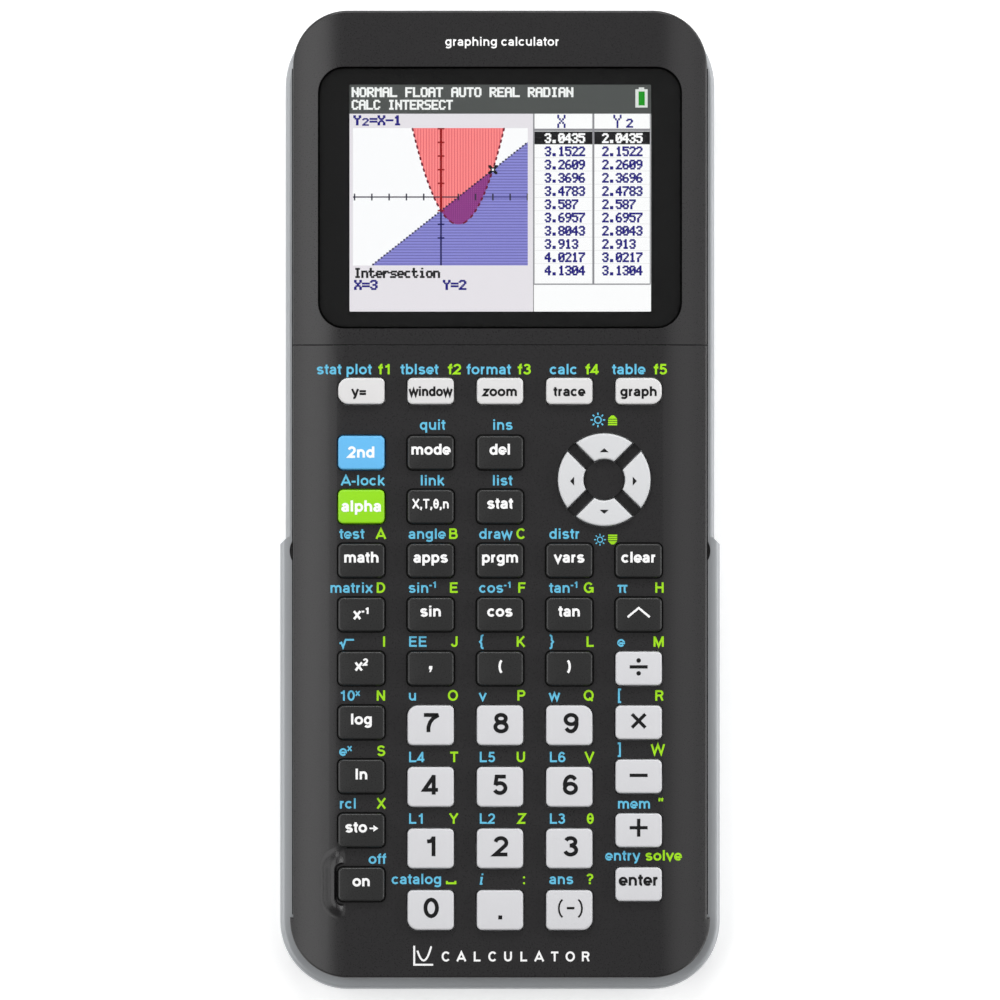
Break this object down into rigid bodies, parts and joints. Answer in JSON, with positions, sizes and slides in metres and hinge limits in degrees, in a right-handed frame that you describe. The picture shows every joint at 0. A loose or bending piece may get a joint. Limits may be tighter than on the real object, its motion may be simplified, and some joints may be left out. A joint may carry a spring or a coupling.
{
  "type": "graphing calculator",
  "caption": "Slim handheld graphing calculator with a recessed colour display, a full keypad, a ring of arrow keys and a silver back cover.",
  "frame": {"origin": "middle of the bounding box's underside, on the surface it rests on", "axes": "+Z out of the keypad, +Y along its length towards the display, +X to the right of someone reading the display"},
  "size_m": [0.0836, 0.186, 0.0146],
  "materials": {
    "front_plastic": "fine moulded texture, charcoal",
    "back_plastic": "satin silver grey",
    "window_clear": "clear, flat, polished",
    "display_panel": "lit screen under glass, in a steel tray",
    "board_laminate": "green solder mask",
    "mat_silicone": "soft translucent grey",
    "cell_wrap": "shrink wrap",
    "screw_steel": "plain plated",
    "dark_key_plastic": "smooth satin, near black",
    "light_key_plastic": "smooth satin, off white",
    "blue_key_plastic": "smooth satin, sky blue",
    "green_key_plastic": "smooth satin, lime green",
    "arrow_key_plastic": "smooth satin, off white"
  },
  "bodies": {
    "case": {"front_bezel": "front_plastic", "keypad_cover": "front_plastic", "back_cover": "back_plastic", "display_window": "window_clear", "lcd_module": "display_panel", "circuit_board": "board_laminate", "key_mat": "mat_silicone", "battery_pack": "cell_wrap", "battery_door": "back_plastic", "case_screws": "screw_steel"},
    "key_y_equals": {"key_y_equals": "light_key_plastic"},
    "key_window": {"key_window": "light_key_plastic"},
    "key_zoom": {"key_zoom": "light_key_plastic"},
    "key_trace": {"key_trace": "light_key_plastic"},
    "key_graph": {"key_graph": "light_key_plastic"},
    "key_second": {"key_second": "blue_key_plastic"},
    "key_mode": {"key_mode": "dark_key_plastic"},
    "key_delete": {"key_delete": "dark_key_plastic"},
    "key_alpha": {"key_alpha": "green_key_plastic"},
    "key_variable": {"key_variable": "dark_key_plastic"},
    "key_statistics": {"key_statistics": "dark_key_plastic"},
    "key_math": {"key_math": "dark_key_plastic"},
    "key_apps": {"key_apps": "dark_key_plastic"},
    "key_program": {"key_program": "dark_key_plastic"},
    "key_vars": {"key_vars": "dark_key_plastic"},
    "key_clear": {"key_clear": "dark_key_plastic"},
    "key_reciprocal": {"key_reciprocal": "dark_key_plastic"},
    "key_sine": {"key_sine": "dark_key_plastic"},
    "key_cosine": {"key_cosine": "dark_key_plastic"},
    "key_tangent": {"key_tangent": "dark_key_plastic"},
    "key_power": {"key_power": "dark_key_plastic"},
    "key_square": {"key_square": "dark_key_plastic"},
    "key_comma": {"key_comma": "dark_key_plastic"},
    "key_open_bracket": {"key_open_bracket": "dark_key_plastic"},
    "key_close_bracket": {"key_close_bracket": "dark_key_plastic"},
    "key_divide": {"key_divide": "light_key_plastic"},
    "key_logarithm": {"key_logarithm": "dark_key_plastic"},
    "key_natural_log": {"key_natural_log": "dark_key_plastic"},
    "key_store": {"key_store": "dark_key_plastic"},
    "key_on": {"key_on": "dark_key_plastic"},
    "key_multiply": {"key_multiply": "light_key_plastic"},
    "key_subtract": {"key_subtract": "light_key_plastic"},
    "key_add": {"key_add": "light_key_plastic"},
    "key_enter": {"key_enter": "light_key_plastic"},
    "key_7": {"key_7": "light_key_plastic"},
    "key_8": {"key_8": "light_key_plastic"},
    "key_9": {"key_9": "light_key_plastic"},
    "key_4": {"key_4": "light_key_plastic"},
    "key_5": {"key_5": "light_key_plastic"},
    "key_6": {"key_6": "light_key_plastic"},
    "key_1": {"key_1": "light_key_plastic"},
    "key_2": {"key_2": "light_key_plastic"},
    "key_3": {"key_3": "light_key_plastic"},
    "key_0": {"key_0": "light_key_plastic"},
    "key_decimal_point": {"key_decimal_point": "light_key_plastic"},
    "key_negate": {"key_negate": "light_key_plastic"},
    "key_arrow_up": {"key_arrow_up": "arrow_key_plastic"},
    "key_arrow_right": {"key_arrow_right": "arrow_key_plastic"},
    "key_arrow_down": {"key_arrow_down": "arrow_key_plastic"},
    "key_arrow_left": {"key_arrow_left": "arrow_key_plastic"}
  },
  "joints": [
    {"name": "press_arrow_up", "type": "slide", "parent": "case", "child": "key_arrow_up", "axis": [0, 0, -1], "range_m": [0, 0.001], "stiffness_N_per_m": 600, "springref_m": -0.0005, "deforming": ["key_mat"]},
    {"name": "press_5", "type": "slide", "parent": "case", "child": "key_5", "axis": [0, 0, -1], "range_m": [0, 0.001], "stiffness_N_per_m": 600, "springref_m": -0.0005},
    {"name": "press_enter", "type": "slide", "parent": "case", "child": "key_enter", "axis": [0, 0, -1], "range_m": [0, 0.001], "stiffness_N_per_m": 600, "springref_m": -0.0005},
    {"name": "press_second", "type": "slide", "parent": "case", "child": "key_second", "axis": [0, 0, -1], "range_m": [0, 0.001], "stiffness_N_per_m": 600, "springref_m": -0.0005},
    {"name": "press_graph", "type": "slide", "parent": "case", "child": "key_graph", "axis": [0, 0, -1], "range_m": [0, 0.001], "stiffness_N_per_m": 600, "springref_m": -0.0005},
    {"name": "press_alpha", "type": "slide", "parent": "case", "child": "key_alpha", "axis": [0, 0, -1], "range_m": [0, 0.001], "stiffness_N_per_m": 600, "springref_m": -0.0005},
    {"name": "press_on", "type": "slide", "parent": "case", "child": "key_on", "axis": [0, 0, -1], "range_m": [0, 0.001], "stiffness_N_per_m": 600, "springref_m": -0.0005},
    {"name": "press_arrow_left", "type": "slide", "parent": "case", "child": "key_arrow_left", "axis": [0, 0, -1], "range_m": [0, 0.001], "stiffness_N_per_m": 600, "springref_m": -0.0005},
    {"name": "press_y_equals", "type": "slide", "parent": "case", "child": "key_y_equals", "axis": [0, 0, -1], "range_m": [0, 0.001], "stiffness_N_per_m": 600, "springref_m": -0.0005},
    {"name": "press_0", "type": "slide", "parent": "case", "child": "key_0", "axis": [0, 0, -1], "range_m": [0, 0.001], "stiffness_N_per_m": 600, "springref_m": -0.0005},
    {"name": "press_clear", "type": "slide", "parent": "case", "child": "key_clear", "axis": [0, 0, -1], "range_m": [0, 0.001], "stiffness_N_per_m": 600, "springref_m": -0.0005},
    {"name": "press_9", "type": "slide", "parent": "case", "child": "key_9", "axis": [0, 0, -1], "range_m": [0, 0.001], "stiffness_N_per_m": 600, "springref_m": -0.0005},
    {"name": "press_arrow_down", "type": "slide", "parent": "case", "child": "key_arrow_down", "axis": [0, 0, -1], "range_m": [0, 0.001], "stiffness_N_per_m": 600, "springref_m": -0.0005},
    {"name": "press_store", "type": "slide", "parent": "case", "child": "key_store", "axis": [0, 0, -1], "range_m": [0, 0.001], "stiffness_N_per_m": 600, "springref_m": -0.0005},
    {"name": "press_arrow_right", "type": "slide", "parent": "case", "child": "key_arrow_right", "axis": [0, 0, -1], "range_m": [0, 0.001], "stiffness_N_per_m": 600, "springref_m": -0.0005},
    {"name": "press_negate", "type": "slide", "parent": "case", "child": "key_negate", "axis": [0, 0, -1], "range_m": [0, 0.001], "stiffness_N_per_m": 600, "springref_m": -0.0005},
    {"name": "press_window", "type": "slide", "parent": "case", "child": "key_window", "axis": [0, 0, -1], "range_m": [0, 0.001], "stiffness_N_per_m": 600, "springref_m": -0.0005},
    {"name": "press_zoom", "type": "slide", "parent": "case", "child": "key_zoom", "axis": [0, 0, -1], "range_m": [0, 0.001], "stiffness_N_per_m": 600, "springref_m": -0.0005},
    {"name": "press_trace", "type": "slide", "parent": "case", "child": "key_trace", "axis": [0, 0, -1], "range_m": [0, 0.001], "stiffness_N_per_m": 600, "springref_m": -0.0005},
    {"name": "press_mode", "type": "slide", "parent": "case", "child": "key_mode", "axis": [0, 0, -1], "range_m": [0, 0.001], "stiffness_N_per_m": 600, "springref_m": -0.0005},
    {"name": "press_delete", "type": "slide", "parent": "case", "child": "key_delete", "axis": [0, 0, -1], "range_m": [0, 0.001], "stiffness_N_per_m": 600, "springref_m": -0.0005},
    {"name": "press_variable", "type": "slide", "parent": "case", "child": "key_variable", "axis": [0, 0, -1], "range_m": [0, 0.001], "stiffness_N_per_m": 600, "springref_m": -0.0005},
    {"name": "press_statistics", "type": "slide", "parent": "case", "child": "key_statistics", "axis": [0, 0, -1], "range_m": [0, 0.001], "stiffness_N_per_m": 600, "springref_m": -0.0005},
    {"name": "press_math", "type": "slide", "parent": "case", "child": "key_math", "axis": [0, 0, -1], "range_m": [0, 0.001], "stiffness_N_per_m": 600, "springref_m": -0.0005},
    {"name": "press_apps", "type": "slide", "parent": "case", "child": "key_apps", "axis": [0, 0, -1], "range_m": [0, 0.001], "stiffness_N_per_m": 600, "springref_m": -0.0005},
    {"name": "press_program", "type": "slide", "parent": "case", "child": "key_program", "axis": [0, 0, -1], "range_m": [0, 0.001], "stiffness_N_per_m": 600, "springref_m": -0.0005},
    {"name": "press_vars", "type": "slide", "parent": "case", "child": "key_vars", "axis": [0, 0, -1], "range_m": [0, 0.001], "stiffness_N_per_m": 600, "springref_m": -0.0005},
    {"name": "press_reciprocal", "type": "slide", "parent": "case", "child": "key_reciprocal", "axis": [0, 0, -1], "range_m": [0, 0.001], "stiffness_N_per_m": 600, "springref_m": -0.0005},
    {"name": "press_sine", "type": "slide", "parent": "case", "child": "key_sine", "axis": [0, 0, -1], "range_m": [0, 0.001], "stiffness_N_per_m": 600, "springref_m": -0.0005},
    {"name": "press_cosine", "type": "slide", "parent": "case", "child": "key_cosine", "axis": [0, 0, -1], "range_m": [0, 0.001], "stiffness_N_per_m": 600, "springref_m": -0.0005},
    {"name": "press_tangent", "type": "slide", "parent": "case", "child": "key_tangent", "axis": [0, 0, -1], "range_m": [0, 0.001], "stiffness_N_per_m": 600, "springref_m": -0.0005},
    {"name": "press_power", "type": "slide", "parent": "case", "child": "key_power", "axis": [0, 0, -1], "range_m": [0, 0.001], "stiffness_N_per_m": 600, "springref_m": -0.0005},
    {"name": "press_square", "type": "slide", "parent": "case", "child": "key_square", "axis": [0, 0, -1], "range_m": [0, 0.001], "stiffness_N_per_m": 600, "springref_m": -0.0005},
    {"name": "press_comma", "type": "slide", "parent": "case", "child": "key_comma", "axis": [0, 0, -1], "range_m": [0, 0.001], "stiffness_N_per_m": 600, "springref_m": -0.0005},
    {"name": "press_open_bracket", "type": "slide", "parent": "case", "child": "key_open_bracket", "axis": [0, 0, -1], "range_m": [0, 0.001], "stiffness_N_per_m": 600, "springref_m": -0.0005},
    {"name": "press_close_bracket", "type": "slide", "parent": "case", "child": "key_close_bracket", "axis": [0, 0, -1], "range_m": [0, 0.001], "stiffness_N_per_m": 600, "springref_m": -0.0005},
    {"name": "press_divide", "type": "slide", "parent": "case", "child": "key_divide", "axis": [0, 0, -1], "range_m": [0, 0.001], "stiffness_N_per_m": 600, "springref_m": -0.0005},
    {"name": "press_logarithm", "type": "slide", "parent": "case", "child": "key_logarithm", "axis": [0, 0, -1], "range_m": [0, 0.001], "stiffness_N_per_m": 600, "springref_m": -0.0005},
    {"name": "press_natural_log", "type": "slide", "parent": "case", "child": "key_natural_log", "axis": [0, 0, -1], "range_m": [0, 0.001], "stiffness_N_per_m": 600, "springref_m": -0.0005},
    {"name": "press_multiply", "type": "slide", "parent": "case", "child": "key_multiply", "axis": [0, 0, -1], "range_m": [0, 0.001], "stiffness_N_per_m": 600, "springref_m": -0.0005},
    {"name": "press_subtract", "type": "slide", "parent": "case", "child": "key_subtract", "axis": [0, 0, -1], "range_m": [0, 0.001], "stiffness_N_per_m": 600, "springref_m": -0.0005},
    {"name": "press_add", "type": "slide", "parent": "case", "child": "key_add", "axis": [0, 0, -1], "range_m": [0, 0.001], "stiffness_N_per_m": 600, "springref_m": -0.0005},
    {"name": "press_7", "type": "slide", "parent": "case", "child": "key_7", "axis": [0, 0, -1], "range_m": [0, 0.001], "stiffness_N_per_m": 600, "springref_m": -0.0005},
    {"name": "press_8", "type": "slide", "parent": "case", "child": "key_8", "axis": [0, 0, -1], "range_m": [0, 0.001], "stiffness_N_per_m": 600, "springref_m": -0.0005},
    {"name": "press_4", "type": "slide", "parent": "case", "child": "key_4", "axis": [0, 0, -1], "range_m": [0, 0.001], "stiffness_N_per_m": 600, "springref_m": -0.0005},
    {"name": "press_6", "type": "slide", "parent": "case", "child": "key_6", "axis": [0, 0, -1], "range_m": [0, 0.001], "stiffness_N_per_m": 600, "springref_m": -0.0005},
    {"name": "press_1", "type": "slide", "parent": "case", "child": "key_1", "axis": [0, 0, -1], "range_m": [0, 0.001], "stiffness_N_per_m": 600, "springref_m": -0.0005},
    {"name": "press_2", "type": "slide", "parent": "case", "child": "key_2", "axis": [0, 0, -1], "range_m": [0, 0.001], "stiffness_N_per_m": 600, "springref_m": -0.0005},
    {"name": "press_3", "type": "slide", "parent": "case", "child": "key_3", "axis": [0, 0, -1], "range_m": [0, 0.001], "stiffness_N_per_m": 600, "springref_m": -0.0005},
    {"name": "press_decimal_point", "type": "slide", "parent": "case", "child": "key_decimal_point", "axis": [0, 0, -1], "range_m": [0, 0.001], "stiffness_N_per_m": 600, "springref_m": -0.0005}
  ]
}
